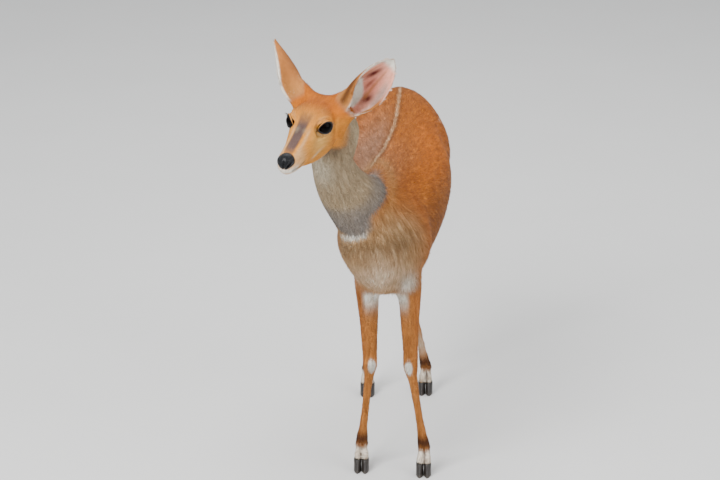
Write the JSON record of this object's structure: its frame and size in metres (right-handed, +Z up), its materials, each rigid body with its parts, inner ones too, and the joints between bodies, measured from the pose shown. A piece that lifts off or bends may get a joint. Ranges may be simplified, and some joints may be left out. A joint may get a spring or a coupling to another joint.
{
  "type": "standing bushbuck ewe",
  "caption": "Life-size still model of a hornless female bushbuck standing square, head turned to its right and ears spread.",
  "frame": {"origin": "on the floor, at the middle of the model's bounding box", "axes": "-Y the way the animal's body faces, +X to its left, +Z up"},
  "size_m": [0.364, 1.0578, 1.0298],
  "materials": {
    "coat": "short rust-brown hair, matte with a faint sheen",
    "neck_coat": "thin grey-brown hair over skin, matte",
    "tail_coat": "brown hair, white below",
    "ear": "thin haired skin, pale pink inside",
    "eye": "wet, glossy, near black",
    "nose_skin": "moist black skin",
    "hoof_horn": "dark horn, satin"
  },
  "bodies": {
    "root": {"torso": "coat", "neck": "neck_coat", "head": "coat", "tail": "tail_coat", "foreleg_left_forearm": "coat", "foreleg_left_cannon": "coat", "foreleg_right_forearm": "coat", "foreleg_right_cannon": "coat", "hindleg_left_shank": "coat", "hindleg_left_cannon": "coat", "hindleg_right_shank": "coat", "hindleg_right_cannon": "coat", "ear_left": "ear", "ear_right": "ear", "nose": "nose_skin", "eye_left": "eye", "eye_right": "eye", "hoof_foreleg_left_left": "hoof_horn", "dewclaw_foreleg_left_left": "hoof_horn", "hoof_foreleg_left_right": "hoof_horn", "dewclaw_foreleg_left_right": "hoof_horn", "hoof_foreleg_right_left": "hoof_horn", "dewclaw_foreleg_right_left": "hoof_horn", "hoof_foreleg_right_right": "hoof_horn", "dewclaw_foreleg_right_right": "hoof_horn", "hoof_hindleg_left_left": "hoof_horn", "dewclaw_hindleg_left_left": "hoof_horn", "hoof_hindleg_left_right": "hoof_horn", "dewclaw_hindleg_left_right": "hoof_horn", "hoof_hindleg_right_left": "hoof_horn", "dewclaw_hindleg_right_left": "hoof_horn", "hoof_hindleg_right_right": "hoof_horn", "dewclaw_hindleg_right_right": "hoof_horn"}
  },
  "joints": []
}
